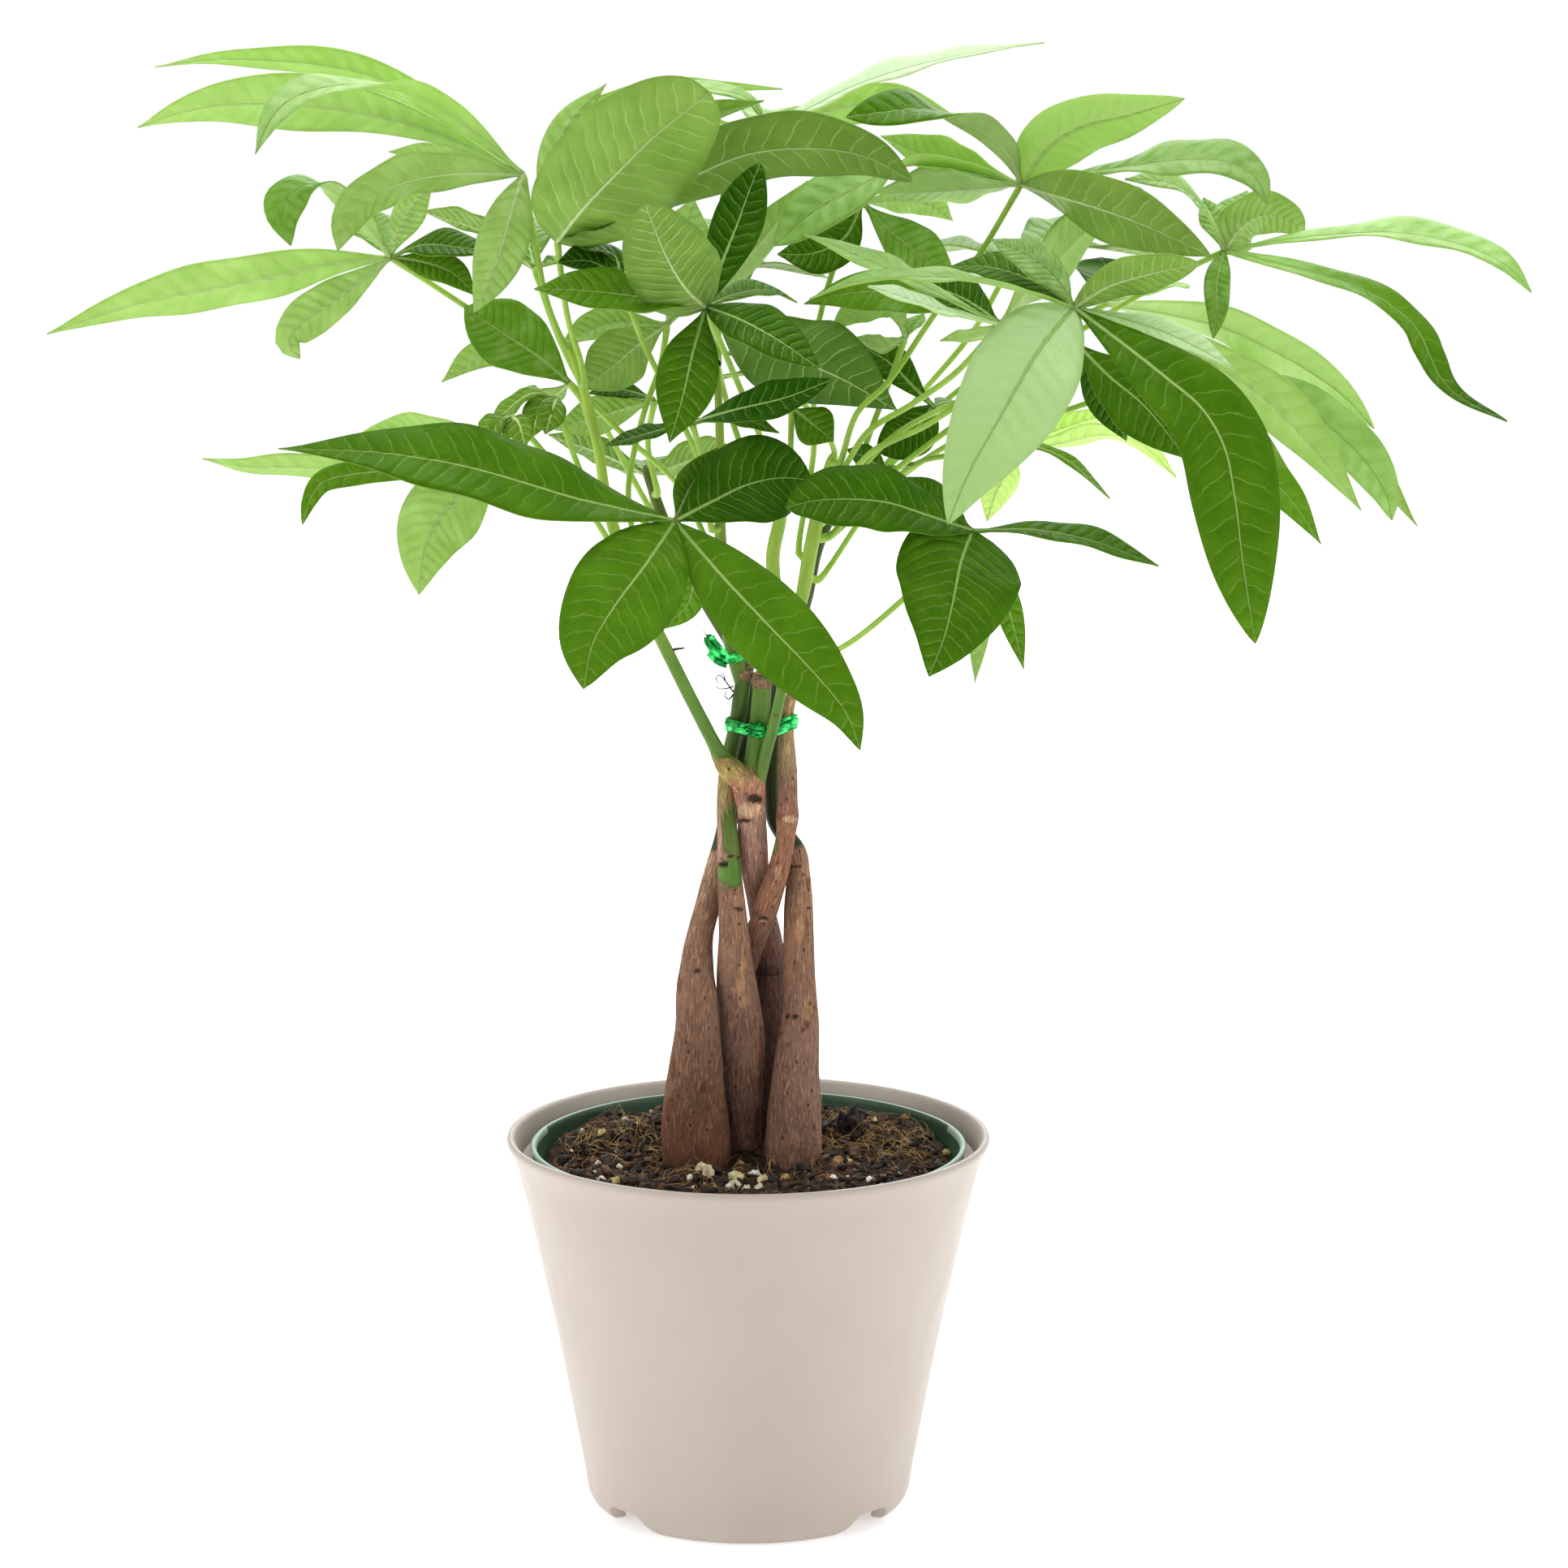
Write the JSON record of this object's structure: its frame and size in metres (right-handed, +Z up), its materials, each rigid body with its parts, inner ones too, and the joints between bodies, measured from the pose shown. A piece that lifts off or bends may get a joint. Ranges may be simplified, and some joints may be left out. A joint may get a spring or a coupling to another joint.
{
  "type": "potted money tree",
  "caption": "Potted money tree: woody stems tied in a bundle, palmate leaves on thin stalks, and a grower's pot of soil inside a flared cover pot with a notched foot.",
  "frame": {"origin": "on the pot's axis, at the level surface that the foot ring stands on", "axes": "+Z up; the side that the picture shows faces -Y; +X to its right"},
  "size_m": [0.4471, 0.2535, 0.45],
  "materials": {
    "cover_pot": "satin, warm taupe",
    "nursery_pot": "satin, dark green",
    "soil": "rough, crumbly potting mix",
    "bark": "rough brown bark, green on the shoots",
    "tie_foil": "metallic green foil",
    "leaf": "satin leaf, pale veins, lighter underside",
    "young_leaf": "satin yellow-green young leaf"
  },
  "bodies": {
    "root": {"cover_pot": "cover_pot", "nursery_pot": "nursery_pot", "soil": "soil", "trunk_crossing": "bark", "trunk_front": "bark", "trunk_left": "bark", "trunk_middle": "bark", "trunk_right": "bark", "tie_band": "tie_foil", "tie_end": "tie_foil", "leaf_back_left": "leaf", "leaf_back_low": "leaf", "leaf_back_middle": "leaf", "leaf_back_right": "leaf", "leaf_crown": "leaf", "leaf_far_left": "leaf", "leaf_far_right": "leaf", "leaf_front_low": "leaf", "leaf_front_middle": "leaf", "leaf_front_right": "leaf", "leaf_inner_left": "leaf", "leaf_inner_middle": "leaf", "leaf_inner_right": "leaf", "leaf_low_far_right": "leaf", "leaf_low_left": "leaf", "leaf_low_right": "leaf", "leaf_middle_low": "leaf", "leaf_middle_small": "leaf", "leaf_rear_crown": "leaf", "leaf_rear_left_small": "leaf", "leaf_rear_low": "leaf", "leaf_rear_middle": "leaf", "leaf_rear_right": "leaf", "leaf_shaded_left": "leaf", "leaf_shaded_right": "leaf", "leaf_small_right": "leaf", "leaf_twig_right": "leaf", "leaf_upper_left": "leaf", "leaf_upper_middle": "leaf", "leaf_upper_right": "leaf", "leaf_young_left_inner": "young_leaf", "leaf_young_left_outer": "young_leaf", "leaf_young_right": "young_leaf"}
  },
  "joints": []
}
